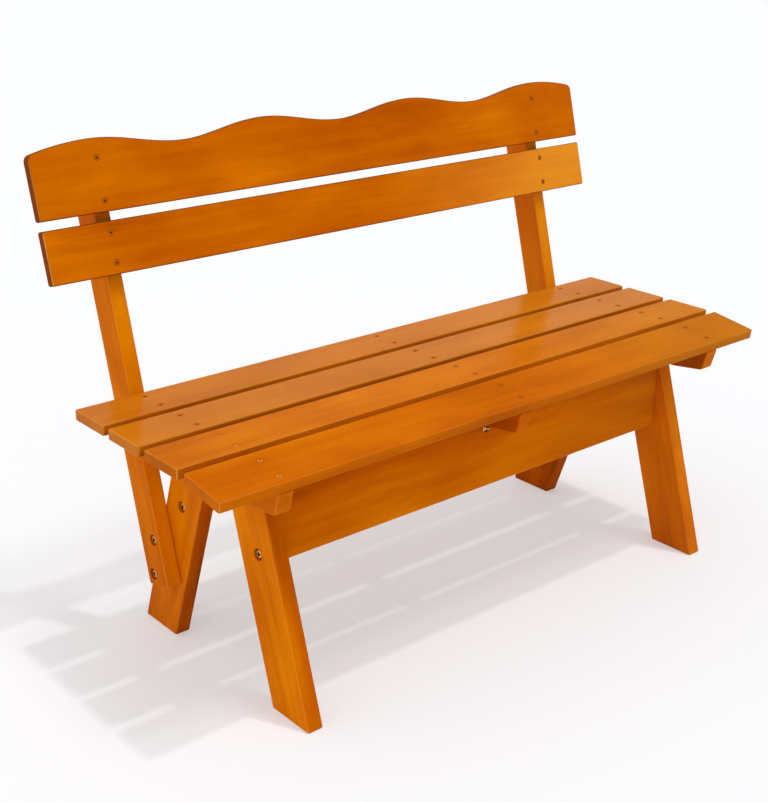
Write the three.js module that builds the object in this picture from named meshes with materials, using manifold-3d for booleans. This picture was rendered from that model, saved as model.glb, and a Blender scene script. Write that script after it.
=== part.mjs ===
// A wooden garden bench with a fixed, leaning back: four seat slats on three bearers, two leg
// pairs that straddle like an A, two stretchers, and two posts that carry a plain and a wavy
// back slat. Units are millimetres, +Z is up, +X runs along the bench and -Y faces the sitter's
// knees. The origin lies on the floor at the middle of the bench's outer box.
import * as THREE from "three";
import { mergeVertices } from "three/addons/utils/BufferGeometryUtils.js";
import Module from "manifold-3d";

const wasm = await Module();
wasm.setup();

const degrees = (angle) => THREE.MathUtils.degToRad(angle);

// Seat and timber
const BENCH_LENGTH = 1200;
const SEAT_HEIGHT = 433;
const SLAT_WIDTH = 88;
const SLAT_THICKNESS = 18;
const SLAT_GAP = 17.8;
const SLAT_ARRIS = 3.5;
const FLAT_SLATS = 3;
const FRONT_SLAT_TILT = degrees(9);
const END_OVERHANG = 101;
const FRAME_THICKNESS = 28;
const FRAME_ARRIS = 2.5;

// Bearers, which carry the slats
const BEARER_DEPTH = 61;
const BEND_AHEAD_OF_SLAT = 16;
const FRONT_SLAT_SETBACK = 2;
const NOSE_SLOPE = degrees(16.3);
const NOSE_RISE = 9;
const MIDDLE_BEARER_INSET = 5;

// Legs
const LEG_WIDTH = 90;
const LEG_TOP_SPREAD = 10;
const LEG_TOP_GAP = 1;
const FRONT_LEG_LEAN = degrees(16.8);
const REAR_LEG_LEAN = degrees(19.8);

// Stretchers between the legs
const STRETCHER_HEIGHT = 116;
const STRETCHER_THICKNESS = 20;
const STRETCHER_OFFSET = 3;
const STRETCHER_BOLT_RISE = 19.5;

// Posts and back
const BACK_LEAN = degrees(14.7);
const POST_WIDTH = 59;
const POST_SETBACK = 0.5;
const POST_TAIL = 19;
const POST_TOP_BELOW_CREST = 16;
const POST_BOLT_PITCH = 62;
const POST_BOLT_STAGGER = 11;
const BACK_RISE = 192.8;
const BACK_SLAT_WIDTH = 85.5;
const BACK_GAP = 14;
const CREST_HEIGHT = 116.5;
const CREST_DEPTH = 20.5;
const CREST_COUNT = 4;
const CREST_END_RUN = 112.5;
const CREST_END_DROP = 15;
const CREST_CORNER_RADIUS = 12;

// Bolts with their washers and nuts
const BOLT_DIAMETER = 8;
const BOLT_HEAD_DIAMETER = 13;
const BOLT_HEAD_HEIGHT = 5;
const BOLT_HEAD_CHAMFER = 0.8;
const SOCKET_WIDTH = 6;
const SOCKET_DEPTH = 3;
const WASHER_DIAMETER = 17;
const WASHER_THICKNESS = 1.6;
const NUT_WIDTH = 13;
const NUT_HEIGHT = 6.5;
const BOLT_END = 2;
const COUNTERBORE_DIAMETER = 20;
const COUNTERBORE_DEPTH = 8;
const BARREL_DIAMETER = 12;
const BARREL_WALL = 2;
const BARREL_INSET = 30;
const BARREL_SLOT_WIDTH = 1.5;
const BARREL_SLOT_DEPTH = 1.5;

// Wood screws
const SCREW_LENGTH = 40;
const SCREW_DIAMETER = 4;
const SCREW_HEAD_DIAMETER = 8.4;
const SCREW_HEAD_RIM = 0.4;
const SCREW_TIP = 4;
const SCREW_SINK = 0.2;
const SCREW_SPACING = 48;
const CREST_SCREW_LOW = 17;
const CREST_SCREW_HIGH = 85;
const CROSS_LENGTH = 4.6;
const CROSS_WIDTH = 1.2;
const CROSS_DEPTH = 1.6;

// Angle brackets under the middle bearer
const BRACKET_LEG = 13;
const BRACKET_WIDTH = 14;
const BRACKET_THICKNESS = 2;
const BRACKET_SIDESTEP = -7;
const BRACKET_SCREW_OUT = 8.5;
const BRACKET_SCREW_DOWN = 5.5;
const BRACKET_SCREW_DIAMETER = 3;
const BRACKET_SCREW_LENGTH = 14;
const BRACKET_HEAD_DIAMETER = 6.5;
const BRACKET_HEAD_HEIGHT = 2;
const CROWN_SHARE = 0.7;

// Clearances: round a shank, under a turned slat, and where a bearer butts on a post
const HOLE_CLEARANCE = 0.3;
const SEATING_GAP = 0.3;
const BUTT_GAP = 0.5;
const OVERRUN = 1;

// Facets
const ARRIS_STEPS = 2;
const CREST_STEPS = 9;
const CORNER_STEPS = 4;
const SCREW_SIDES = 8;
const BOLT_SIDES = 12;
const HEX_SIDES = 6;
const MERGE_WITHIN = 0.001;

// Places worked out from the sizes above. Y is measured from the middle of the seat.
const UNDERSIDE = SEAT_HEIGHT - SLAT_THICKNESS;
const SLAT_PITCH = SLAT_WIDTH + SLAT_GAP;
const SEAT_REAR = (SLAT_WIDTH + FLAT_SLATS * SLAT_PITCH) / 2;
const FLAT_FRONT = SEAT_REAR - SLAT_WIDTH - (FLAT_SLATS - 1) * SLAT_PITCH;
const BEND_Y = FLAT_FRONT - BEND_AHEAD_OF_SLAT;
const BEARER_BOTTOM = UNDERSIDE - BEARER_DEPTH;
const BEARER_X = BENCH_LENGTH / 2 - END_OVERHANG - FRAME_THICKNESS / 2;
const LEG_X = BEARER_X - FRAME_THICKNESS;
const LEG_INNER_X = LEG_X - FRAME_THICKNESS / 2;
const STRETCHER_BOTTOM = BEARER_BOTTOM - STRETCHER_HEIGHT;
const STRETCHER_BOLT_Z = STRETCHER_BOTTOM + STRETCHER_BOLT_RISE;
const FRONT_STRETCHER_Y = legCentre("front", STRETCHER_BOLT_Z) - STRETCHER_OFFSET;
const REAR_STRETCHER_Y = legCentre("rear", STRETCHER_BOLT_Z) + STRETCHER_OFFSET;
const POST_FRONT_Y = SEAT_REAR + POST_SETBACK;
const CREST_PERIOD = (BENCH_LENGTH - 2 * CREST_END_RUN) / (CREST_COUNT - 1);
const LOWER_SLAT_RISE = SLAT_THICKNESS / Math.cos(BACK_LEAN) + BACK_RISE;
const CREST_SLAT_RISE = LOWER_SLAT_RISE + BACK_SLAT_WIDTH + BACK_GAP;
const POST_TOP = CREST_SLAT_RISE + CREST_HEIGHT - POST_TOP_BELOW_CREST;
const POST_CROSSING = postCrossing();
const POST_FOOT = POST_CROSSING - POST_TAIL;
const SEAT_SCREW_ROWS = screwRows(SLAT_WIDTH);
const BACK_SCREW_ROWS = screwRows(BACK_SLAT_WIDTH);
const CREST_SCREW_ROWS = [CREST_SCREW_LOW, CREST_SCREW_HIGH];
const SANDWICH_GRIP = 2 * FRAME_THICKNESS - COUNTERBORE_DEPTH;

// The two rows of screws, set evenly about the middle of a slat of the given width.
function screwRows(width) {
  return [(width - SCREW_SPACING) / 2, (width + SCREW_SPACING) / 2];
}

// The middle of a leg at a height, measured level from the middle of the seat.
function legCentre(end, z) {
  const lean = end === "front" ? FRONT_LEG_LEAN : REAR_LEG_LEAN;
  const sign = end === "front" ? -1 : 1;
  const top = LEG_TOP_SPREAD / 2 + LEG_WIDTH / 2 / Math.cos(lean);
  return sign * (top + (UNDERSIDE - z) * Math.tan(lean));
}

// A point of the post's own section, as bench Y and Z. The section starts where the post's
// front face passes the slats' underside, with "back" square to that face and "up" along it.
function fromPost(back, up) {
  const y = POST_FRONT_Y + back * Math.cos(BACK_LEAN) + up * Math.sin(BACK_LEAN);
  const z = UNDERSIDE - back * Math.sin(BACK_LEAN) + up * Math.cos(BACK_LEAN);
  return [y, z];
}

// How far up its section the post's middle line crosses the rear leg's middle line.
function postCrossing() {
  const [y, z] = fromPost(POST_WIDTH / 2, 0);
  const apart = y - legCentre("rear", z);
  const fall = apart / (Math.tan(BACK_LEAN) + Math.tan(REAR_LEG_LEAN));
  return -fall / Math.cos(BACK_LEAN);
}

function geometryOf(solid) {
  const { numProp, vertProperties, triVerts } = solid.getMesh();
  const geometry = new THREE.BufferGeometry();
  geometry.setAttribute("position", new THREE.BufferAttribute(vertProperties, numProp));
  geometry.setIndex(new THREE.BufferAttribute(triVerts, 1));
  geometry.computeVertexNormals();
  return geometry;
}

// A closed three.js geometry as a manifold solid, without the flat triangles at a lathe's poles.
function solidOf(geometry) {
  const bare = geometry.index ? geometry.toNonIndexed() : geometry.clone();
  bare.deleteAttribute("normal");
  bare.deleteAttribute("uv");
  const merged = mergeVertices(bare, MERGE_WITHIN);
  const corners = [];
  for (let i = 0; i < merged.index.count; i += 3) {
    const [a, b, c] = [0, 1, 2].map((k) => merged.index.getX(i + k));
    if (a !== b && b !== c && c !== a) corners.push(a, b, c);
  }
  const vertProperties = new Float32Array(merged.attributes.position.array);
  const triVerts = new Uint32Array(corners);
  return new wasm.Manifold(new wasm.Mesh({ numProp: 3, vertProperties, triVerts }));
}

function join(parts) {
  return parts.map(solidOf).reduce((sum, next) => sum.add(next));
}

function cut(geometry, tools) {
  return geometryOf(tools.map(solidOf).reduce((rest, tool) => rest.subtract(tool), solidOf(geometry)));
}

const wood = () => new THREE.MeshStandardMaterial({ color: 0xd8720c, roughness: 0.35, metalness: 0 });
const yellowZinc = () => new THREE.MeshStandardMaterial({ color: 0xa98a4a, roughness: 0.35, metalness: 1 });
const brightZinc = () => new THREE.MeshStandardMaterial({ color: 0xb9bcc0, roughness: 0.4, metalness: 1 });

function piece(name, geometry, material) {
  const mesh = new THREE.Mesh(geometry, material);
  mesh.name = name;
  return mesh;
}

// A board from its outline, lying on Z = 0, with every arris of its two faces rounded.
function board(outline, thickness, arris) {
  const geometry = new THREE.ExtrudeGeometry(new THREE.Shape(outline), {
    depth: thickness - 2 * arris,
    bevelThickness: arris,
    bevelSize: arris,
    bevelOffset: -arris,
    bevelSegments: ARRIS_STEPS,
  });
  return geometry.translate(0, 0, arris);
}

const point = (x, y) => new THREE.Vector2(x, y);

// A board that stands on edge: its outline is drawn in Y and Z, and its thickness lies along X.
function standingBoard(outline) {
  const upright = new THREE.Matrix4().makeBasis(
    new THREE.Vector3(0, 1, 0),
    new THREE.Vector3(0, 0, 1),
    new THREE.Vector3(1, 0, 0),
  );
  const geometry = board(outline, FRAME_THICKNESS, FRAME_ARRIS).applyMatrix4(upright);
  return geometry.translate(-FRAME_THICKNESS / 2, 0, 0);
}

// A turned solid with its axis on Z, from pairs of radius and height that run upwards.
function turned(profile, sides) {
  const points = profile.map(([radius, height]) => point(radius, height));
  return new THREE.LatheGeometry(points, sides).rotateX(Math.PI / 2);
}

function hexagon(width, bottom, top) {
  const radius = width / 2 / Math.cos(Math.PI / HEX_SIDES);
  return turned([[0, bottom], [radius, bottom], [radius, top], [0, top]], HEX_SIDES);
}

// A countersunk wood screw with its head's face at Z = 0, made larger all round by "extra".
function screwShape(extra) {
  const head = SCREW_HEAD_DIAMETER / 2 + extra;
  const shank = SCREW_DIAMETER / 2 + extra;
  const rim = -SCREW_HEAD_RIM - extra;
  const top = extra ? OVERRUN : 0;
  return turned([
    [0, -SCREW_LENGTH - extra],
    [shank, SCREW_TIP - SCREW_LENGTH - extra],
    [shank, rim - head + shank],
    [head, rim],
    [head, top],
    [0, top],
  ], SCREW_SIDES);
}

function crossRecess(length, width, depth) {
  const height = depth + OVERRUN;
  const arm = () => new THREE.BoxGeometry(length, width, height).translate(0, 0, height / 2 - depth);
  return [arm(), arm().rotateZ(Math.PI / 2)];
}

function woodScrew() {
  return cut(screwShape(0), crossRecess(CROSS_LENGTH, CROSS_WIDTH, CROSS_DEPTH));
}

// The middles of the two end bearers, which the posts share, and of the middle bearer.
const sideX = { left: -BEARER_X, middle: 0, right: BEARER_X };

function screwTools(sides, rows, top) {
  return sides.flatMap((side) =>
    rows.map((row) => screwShape(HOLE_CLEARANCE).translate(sideX[side], row, top - SCREW_SINK)));
}

// A slat with its screws. Its own frame has Y = 0 on the lower or front edge and Z = 0 on the
// face that is screwed down.
function slat(name, outline, rows, rowNames, sides) {
  const group = new THREE.Group();
  const tools = screwTools(sides, rows, SLAT_THICKNESS);
  group.add(piece(name, cut(board(outline, SLAT_THICKNESS, SLAT_ARRIS), tools), wood()));
  for (const side of ["left", "right"]) {
    rows.forEach((row, i) => {
      const screw = piece(`${name}_screw_${side}_${rowNames[i]}`, woodScrew(), yellowZinc());
      screw.position.set(sideX[side], row, SLAT_THICKNESS - SCREW_SINK);
      group.add(screw);
    });
  }
  return group;
}

function plainOutline(length, width) {
  const half = length / 2;
  return [point(-half, 0), point(half, 0), point(half, width), point(-half, width)];
}

// Height of the crest slat's top edge: a cosine wave between the outer crests, and past them a
// parabola that falls to the end.
function crestAt(x) {
  const outerCrest = BENCH_LENGTH / 2 - CREST_END_RUN;
  const past = Math.abs(x) - outerCrest;
  if (past > 0) return CREST_HEIGHT - CREST_END_DROP * (past / CREST_END_RUN) ** 2;
  const turn = (past / CREST_PERIOD) * 2 * Math.PI;
  return CREST_HEIGHT - (CREST_DEPTH / 2) * (1 - Math.cos(turn));
}

// The wavy outline, from its lower left corner anticlockwise, with both top corners rounded by
// an arc that meets the wave at its own slope.
function crestOutline() {
  const half = BENCH_LENGTH / 2;
  const fall = Math.atan((2 * CREST_END_DROP) / CREST_END_RUN);
  const arcTurn = Math.PI / 2 - fall;
  const reach = half - CREST_CORNER_RADIUS * (1 - Math.cos(arcTurn));
  const centreX = half - CREST_CORNER_RADIUS;
  const centreY = crestAt(reach) - CREST_CORNER_RADIUS * Math.sin(arcTurn);
  const corner = [];
  for (let i = 0; i < CORNER_STEPS; i += 1) {
    const turn = (i / CORNER_STEPS) * arcTurn;
    const x = centreX + CREST_CORNER_RADIUS * Math.cos(turn);
    corner.push(point(x, centreY + CREST_CORNER_RADIUS * Math.sin(turn)));
  }
  const wave = [];
  const steps = CREST_STEPS * CREST_COUNT;
  for (let i = 0; i <= steps; i += 1) {
    const x = reach * (1 - (2 * i) / steps);
    wave.push(point(x, crestAt(x)));
  }
  const mirrored = corner.map(({ x, y }) => point(-x, y)).reverse();
  return [point(-half, 0), point(half, 0), ...corner, ...wave, ...mirrored];
}

// The seat: flat slats from the rear forwards, then the front one on the bearers' slope.
const tiltedSeat = FRONT_SLAT_SETBACK + SLAT_WIDTH;
const frontSlatPlace = [
  BEND_Y - tiltedSeat * Math.cos(FRONT_SLAT_TILT) - SEATING_GAP * Math.sin(FRONT_SLAT_TILT),
  UNDERSIDE - tiltedSeat * Math.sin(FRONT_SLAT_TILT) + SEATING_GAP * Math.cos(FRONT_SLAT_TILT),
];

function seatPlace(index) {
  if (index === FLAT_SLATS) return { y: frontSlatPlace[0], z: frontSlatPlace[1], tilt: FRONT_SLAT_TILT };
  return { y: SEAT_REAR - SLAT_WIDTH - index * SLAT_PITCH, z: UNDERSIDE, tilt: 0 };
}

function seat() {
  const group = new THREE.Group();
  for (let i = 0; i <= FLAT_SLATS; i += 1) {
    const { y, z, tilt } = seatPlace(i);
    const outline = plainOutline(BENCH_LENGTH, SLAT_WIDTH);
    const one = slat(`seat_slat_${i + 1}`, outline, SEAT_SCREW_ROWS, ["front", "rear"], Object.keys(sideX));
    one.position.set(0, y, z);
    one.rotation.x = tilt;
    group.add(one);
  }
  return group;
}

function back() {
  const group = new THREE.Group();
  const rowNames = ["lower", "upper"];
  const sides = ["left", "right"];
  const plain = plainOutline(BENCH_LENGTH, BACK_SLAT_WIDTH);
  const lower = slat("back_slat_lower", plain, BACK_SCREW_ROWS, rowNames, sides);
  const crest = slat("back_slat_crest", crestOutline(), CREST_SCREW_ROWS, rowNames, sides);
  [[lower, LOWER_SLAT_RISE], [crest, CREST_SLAT_RISE]].forEach(([one, rise]) => {
    one.position.set(0, ...fromPost(-SEATING_GAP, rise));
    one.rotation.x = Math.PI / 2 - BACK_LEAN;
    group.add(one);
  });
  return group;
}

// Screw-shaped solids at the places of all the seat's screws over one bearer, with the
// bearer's own middle at X = 0.
function seatScrews(shape) {
  const found = [];
  for (let i = 0; i <= FLAT_SLATS; i += 1) {
    const { y, z, tilt } = seatPlace(i);
    for (const row of SEAT_SCREW_ROWS) {
      const screw = shape().translate(0, row, SLAT_THICKNESS - SCREW_SINK);
      found.push(screw.rotateX(tilt).translate(0, y, z));
    }
  }
  return found;
}

// A bearer's outline: sloped nose, top that falls under the front slat, underside that rises from
// the front bracket's tip to the nose, and a rear end whose top and bottom are given.
function bearerOutline(rearTop, rearBottom) {
  const noseTopY = BEND_Y - tiltedSeat * Math.cos(FRONT_SLAT_TILT);
  const noseTopZ = UNDERSIDE - tiltedSeat * Math.sin(FRONT_SLAT_TILT);
  const noseBottomZ = BEARER_BOTTOM + NOSE_RISE;
  const noseBottomY = noseTopY + (noseTopZ - noseBottomZ) * Math.tan(NOSE_SLOPE);
  const levelFront = FRONT_STRETCHER_Y - STRETCHER_THICKNESS / 2 - BRACKET_LEG;
  return [
    point(noseBottomY, noseBottomZ),
    point(levelFront, BEARER_BOTTOM),
    point(rearBottom, BEARER_BOTTOM),
    point(rearTop, UNDERSIDE),
    point(BEND_Y, UNDERSIDE),
    point(noseTopY, noseTopZ),
  ];
}

const bearerBoltZ = UNDERSIDE - BEARER_DEPTH / 2;

// Bolt places in the side frames, as bench Y and Z.
const boltPlaces = {
  front_bearer: [legCentre("front", bearerBoltZ), bearerBoltZ],
  rear_bearer: [legCentre("rear", bearerBoltZ), bearerBoltZ],
  post_upper: fromPost(POST_WIDTH / 2 - POST_BOLT_STAGGER, POST_CROSSING + POST_BOLT_PITCH),
  post_lower: fromPost(POST_WIDTH / 2 + POST_BOLT_STAGGER, POST_CROSSING),
  front_stretcher: [FRONT_STRETCHER_Y, STRETCHER_BOLT_Z],
  rear_stretcher: [REAR_STRETCHER_Y, STRETCHER_BOLT_Z],
};

// A bolt's hole along Z: the counterbore's floor is at Z = 0 and the shank's hole runs down.
function boltHole(depth) {
  const shank = BOLT_DIAMETER / 2 + HOLE_CLEARANCE;
  const bore = COUNTERBORE_DIAMETER / 2;
  const mouth = COUNTERBORE_DEPTH + OVERRUN;
  return turned([
    [0, -depth],
    [shank, -depth],
    [shank, 0],
    [bore, 0],
    [bore, mouth],
    [0, mouth],
  ], BOLT_SIDES);
}

function shankHole(depth) {
  const shank = BOLT_DIAMETER / 2 + HOLE_CLEARANCE;
  return turned([[0, -depth], [shank, -depth], [shank, 0], [0, 0]], BOLT_SIDES);
}

// Turns a shape whose head looks along +Z so that it looks outwards on the given side.
function faceOut(geometry, sign) {
  return geometry.rotateY((sign * Math.PI) / 2);
}

function outerHole(sign, place) {
  const floor = FRAME_THICKNESS / 2 - COUNTERBORE_DEPTH;
  const hole = faceOut(boltHole(FRAME_THICKNESS + OVERRUN), sign);
  return hole.translate(sign * floor, ...place);
}

function throughHole(sign, place) {
  const hole = faceOut(shankHole(FRAME_THICKNESS + 2 * OVERRUN), sign);
  return hole.translate(sign * (FRAME_THICKNESS / 2 + OVERRUN), ...place);
}

function endBearer(side, sign) {
  const rearTop = POST_FRONT_Y - BUTT_GAP;
  const rearBottom = rearTop - BEARER_DEPTH * Math.tan(BACK_LEAN);
  const tools = [
    outerHole(sign, boltPlaces.front_bearer),
    outerHole(sign, boltPlaces.rear_bearer),
    ...seatScrews(() => screwShape(HOLE_CLEARANCE)),
  ];
  const bare = standingBoard(bearerOutline(rearTop, rearBottom));
  const mesh = piece(`${side}_bearer`, cut(bare, tools), wood());
  mesh.position.x = sign * BEARER_X;
  return mesh;
}

// The middle bearer keeps its eight seat screws in one piece with it.
function middleBearer() {
  const rear = SEAT_REAR - MIDDLE_BEARER_INSET;
  const pilots = bracketPlaces.map(([, y, sign]) =>
    bracketScrew(HOLE_CLEARANCE)
      .translate(-sign * BRACKET_SIDESTEP, y + sign * BRACKET_SCREW_OUT, BEARER_BOTTOM));
  const bare = cut(standingBoard(bearerOutline(rear, rear)), pilots);
  return piece("middle_bearer", geometryOf(join([bare, ...seatScrews(woodScrew)])), wood());
}

function legOutline(end) {
  const lean = end === "front" ? FRONT_LEG_LEAN : REAR_LEG_LEAN;
  const half = LEG_WIDTH / 2 / Math.cos(lean);
  const top = UNDERSIDE - LEG_TOP_GAP;
  return [
    point(legCentre(end, 0) - half, 0),
    point(legCentre(end, 0) + half, 0),
    point(legCentre(end, top) + half, top),
    point(legCentre(end, top) - half, top),
  ];
}

function leg(side, sign, end) {
  const tools = [
    throughHole(sign, boltPlaces[`${end}_bearer`]),
    outerHole(sign, boltPlaces[`${end}_stretcher`]),
  ];
  if (end === "rear") {
    tools.push(throughHole(sign, boltPlaces.post_upper), throughHole(sign, boltPlaces.post_lower));
  }
  const mesh = piece(`${side}_${end}_leg`, cut(standingBoard(legOutline(end)), tools), wood());
  mesh.position.x = sign * LEG_X;
  return mesh;
}

// A post, in its own section's frame: Y square to its front face and Z along it.
function post(side, sign) {
  const outline = [
    point(0, POST_FOOT),
    point(POST_WIDTH, POST_FOOT),
    point(POST_WIDTH, POST_TOP),
    point(0, POST_TOP),
  ];
  const upper = [POST_WIDTH / 2 - POST_BOLT_STAGGER, POST_CROSSING + POST_BOLT_PITCH];
  const lower = [POST_WIDTH / 2 + POST_BOLT_STAGGER, POST_CROSSING];
  const face = -SEATING_GAP - SLAT_THICKNESS + SCREW_SINK;
  const rises = [
    ...BACK_SCREW_ROWS.map((row) => LOWER_SLAT_RISE + row),
    ...CREST_SCREW_ROWS.map((row) => CREST_SLAT_RISE + row),
  ];
  const pilots = rises.map((rise) =>
    screwShape(HOLE_CLEARANCE).rotateX(Math.PI / 2).translate(0, face, rise));
  const tools = [outerHole(sign, upper), outerHole(sign, lower), ...pilots];
  const mesh = piece(`${side}_post`, cut(standingBoard(outline), tools), wood());
  mesh.position.set(sign * BEARER_X, POST_FRONT_Y, UNDERSIDE);
  mesh.rotation.x = -BACK_LEAN;
  return mesh;
}

// A socket-head bolt along Z with its washer resting on Z = 0. Below the grip it can carry a
// second washer and a nut.
function bolt(grip, reach, withNut) {
  const shank = BOLT_DIAMETER / 2;
  const head = BOLT_HEAD_DIAMETER / 2;
  const washer = WASHER_DIAMETER / 2;
  const headTop = WASHER_THICKNESS + BOLT_HEAD_HEIGHT;
  const parts = [turned([
    [0, -reach],
    [shank, -reach],
    [shank, 0],
    [washer, 0],
    [washer, WASHER_THICKNESS],
    [head, WASHER_THICKNESS],
    [head, headTop - BOLT_HEAD_CHAMFER],
    [head - BOLT_HEAD_CHAMFER, headTop],
    [0, headTop],
  ], BOLT_SIDES)];
  if (withNut) {
    const farWasher = -grip - WASHER_THICKNESS;
    parts.push(turned([[0, farWasher], [washer, farWasher], [washer, -grip], [0, -grip]], BOLT_SIDES));
    parts.push(hexagon(NUT_WIDTH, farWasher - NUT_HEIGHT, farWasher));
  }
  const socket = hexagon(SOCKET_WIDTH, headTop - SOCKET_DEPTH, headTop + OVERRUN);
  return geometryOf(join(parts).subtract(solidOf(socket)));
}

function bolts(side, sign) {
  const found = [];
  const nutted = SANDWICH_GRIP + WASHER_THICKNESS + NUT_HEIGHT + BOLT_END;
  const legGrip = FRAME_THICKNESS - COUNTERBORE_DEPTH;
  const intoBarrel = legGrip + BARREL_INSET + BARREL_DIAMETER / 2 + BOLT_END;
  for (const [place, [y, z]] of Object.entries(boltPlaces)) {
    const toStretcher = place.endsWith("stretcher");
    const shape = toStretcher ? bolt(legGrip, intoBarrel, false) : bolt(SANDWICH_GRIP, nutted, true);
    const mesh = piece(`${side}_${place}_bolt`, shape, yellowZinc());
    const outerFace = (toStretcher ? LEG_X : BEARER_X) + FRAME_THICKNESS / 2;
    mesh.position.set(sign * (outerFace - COUNTERBORE_DEPTH), y, z);
    mesh.rotation.y = (sign * Math.PI) / 2;
    found.push(mesh);
  }
  return found;
}

// A barrel nut across the stretcher, its axis on Y and its slotted end towards +Y.
function barrelNut(side, sign, end) {
  const length = STRETCHER_THICKNESS - 2 * BARREL_WALL;
  const radius = BARREL_DIAMETER / 2;
  const body = new THREE.CylinderGeometry(radius, radius, length, BOLT_SIDES);
  const threadHole = faceOut(shankHole(BARREL_DIAMETER + 2 * OVERRUN), 1).translate(radius + OVERRUN, 0, 0);
  const slotHeight = BARREL_SLOT_DEPTH + OVERRUN;
  const slot = new THREE.BoxGeometry(BARREL_DIAMETER + 2 * OVERRUN, slotHeight, BARREL_SLOT_WIDTH);
  slot.translate(0, length / 2 - BARREL_SLOT_DEPTH + slotHeight / 2, 0);
  const mesh = piece(`${side}_${end}_barrel_nut`, cut(body, [threadHole, slot]), yellowZinc());
  const inner = end === "front" ? 1 : -1;
  mesh.position.set(sign * (LEG_INNER_X - BARREL_INSET), stretcherY(end), STRETCHER_BOLT_Z);
  mesh.rotation.z = inner > 0 ? 0 : Math.PI;
  return mesh;
}

const stretcherY = (end) => (end === "front" ? FRONT_STRETCHER_Y : REAR_STRETCHER_Y);

// A stretcher in its own frame: X along it, Y across it with +Y towards the bench's middle.
function stretcher(end) {
  const half = LEG_INNER_X;
  const outline = plainOutline(2 * half, STRETCHER_HEIGHT);
  const body = board(outline, STRETCHER_THICKNESS, FRAME_ARRIS).rotateX(Math.PI / 2);
  body.translate(0, STRETCHER_THICKNESS / 2, 0);
  const radius = BARREL_DIAMETER / 2 + HOLE_CLEARANCE;
  const depth = STRETCHER_THICKNESS - BARREL_WALL + HOLE_CLEARANCE;
  const boltDepth = BARREL_INSET + radius + BOLT_END + OVERRUN;
  const tools = [bracketScrew(HOLE_CLEARANCE).rotateX(-Math.PI / 2)
    .translate(BRACKET_SIDESTEP, -STRETCHER_THICKNESS / 2, STRETCHER_HEIGHT - BRACKET_SCREW_DOWN)];
  for (const sign of [-1, 1]) {
    const blind = new THREE.CylinderGeometry(radius, radius, depth + OVERRUN, BOLT_SIDES);
    const middle = STRETCHER_THICKNESS / 2 - depth + (depth + OVERRUN) / 2;
    tools.push(blind.translate(sign * (half - BARREL_INSET), middle, STRETCHER_BOLT_RISE));
    const endHole = faceOut(shankHole(boltDepth + OVERRUN), sign);
    tools.push(endHole.translate(sign * (half + OVERRUN), 0, STRETCHER_BOLT_RISE));
  }
  const mesh = piece(`${end}_stretcher`, cut(body, tools), wood());
  mesh.position.set(0, stretcherY(end), STRETCHER_BOTTOM);
  mesh.rotation.z = end === "front" ? 0 : Math.PI;
  return mesh;
}

// Each bracket's name, the Y of the stretcher face that it lies on, and which way that looks.
const bracketPlaces = [
  ["front_bracket", FRONT_STRETCHER_Y - STRETCHER_THICKNESS / 2, -1],
  ["rear_bracket", REAR_STRETCHER_Y + STRETCHER_THICKNESS / 2, 1],
];

// A round-headed screw that points up from under a bracket's leg: Z = 0 is the wood's face.
function bracketScrew(extra) {
  const shank = BRACKET_SCREW_DIAMETER / 2 + extra;
  const tip = BRACKET_SCREW_LENGTH - BRACKET_THICKNESS + extra;
  const foot = -BRACKET_THICKNESS - BRACKET_HEAD_HEIGHT;
  if (extra) return turned([[0, -OVERRUN], [shank, -OVERRUN], [shank, tip], [0, tip]], SCREW_SIDES);
  const head = BRACKET_HEAD_DIAMETER / 2;
  const crown = foot + BRACKET_HEAD_HEIGHT / 2;
  const profile = [
    [0, foot],
    [head * CROWN_SHARE, foot],
    [head, crown],
    [head, -BRACKET_THICKNESS],
    [shank, -BRACKET_THICKNESS],
    [shank, tip],
    [0, tip],
  ];
  const recess = crossRecess(CROSS_LENGTH, CROSS_WIDTH, BRACKET_HEAD_HEIGHT / 2).map((arm) =>
    arm.rotateX(Math.PI).translate(0, 0, foot));
  return cut(turned(profile, SCREW_SIDES), recess);
}

// An angle bracket with its two screws: corner on the X axis, legs along -Y and down. It stands
// to one side of the bearer's middle, and the screw in its level leg is set further out, so that
// the two heads are clear of each other.
function bracket([name, y, sign]) {
  const thick = BRACKET_THICKNESS;
  const flat = new THREE.BoxGeometry(BRACKET_WIDTH, BRACKET_LEG, thick);
  flat.translate(0, -BRACKET_LEG / 2, -thick / 2);
  const down = new THREE.BoxGeometry(BRACKET_WIDTH, thick, BRACKET_LEG);
  down.translate(0, -thick / 2, -BRACKET_LEG / 2);
  const up = bracketScrew(0).translate(0, -BRACKET_SCREW_OUT, 0);
  const across = bracketScrew(0).rotateX(-Math.PI / 2).translate(0, 0, -BRACKET_SCREW_DOWN);
  const shape = geometryOf(join([flat, down, up, across])).translate(BRACKET_SIDESTEP, 0, 0);
  const mesh = piece(name, shape, brightZinc());
  mesh.position.set(0, y, BEARER_BOTTOM);
  mesh.rotation.z = sign < 0 ? 0 : Math.PI;
  return mesh;
}

function sideFrame(side, sign) {
  const group = new THREE.Group();
  group.add(endBearer(side, sign), leg(side, sign, "front"), leg(side, sign, "rear"), post(side, sign));
  group.add(...bolts(side, sign), barrelNut(side, sign, "front"), barrelNut(side, sign, "rear"));
  return group;
}

// Moves the bench so that its outer box is centred on Y = 0: the box runs from the front feet's
// toes to the rear corners of the posts' tops.
function centringShift() {
  const toe = legOutline("front")[0].x;
  const [postRear] = fromPost(POST_WIDTH, POST_TOP);
  return -(toe + postRear) / 2;
}

const bench = new THREE.Group();
bench.add(seat(), back(), middleBearer(), stretcher("front"), stretcher("rear"));
bench.add(sideFrame("left", -1), sideFrame("right", 1), ...bracketPlaces.map(bracket));
bench.position.y = centringShift();

const root = new THREE.Group();
root.add(bench);

export default root;
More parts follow.
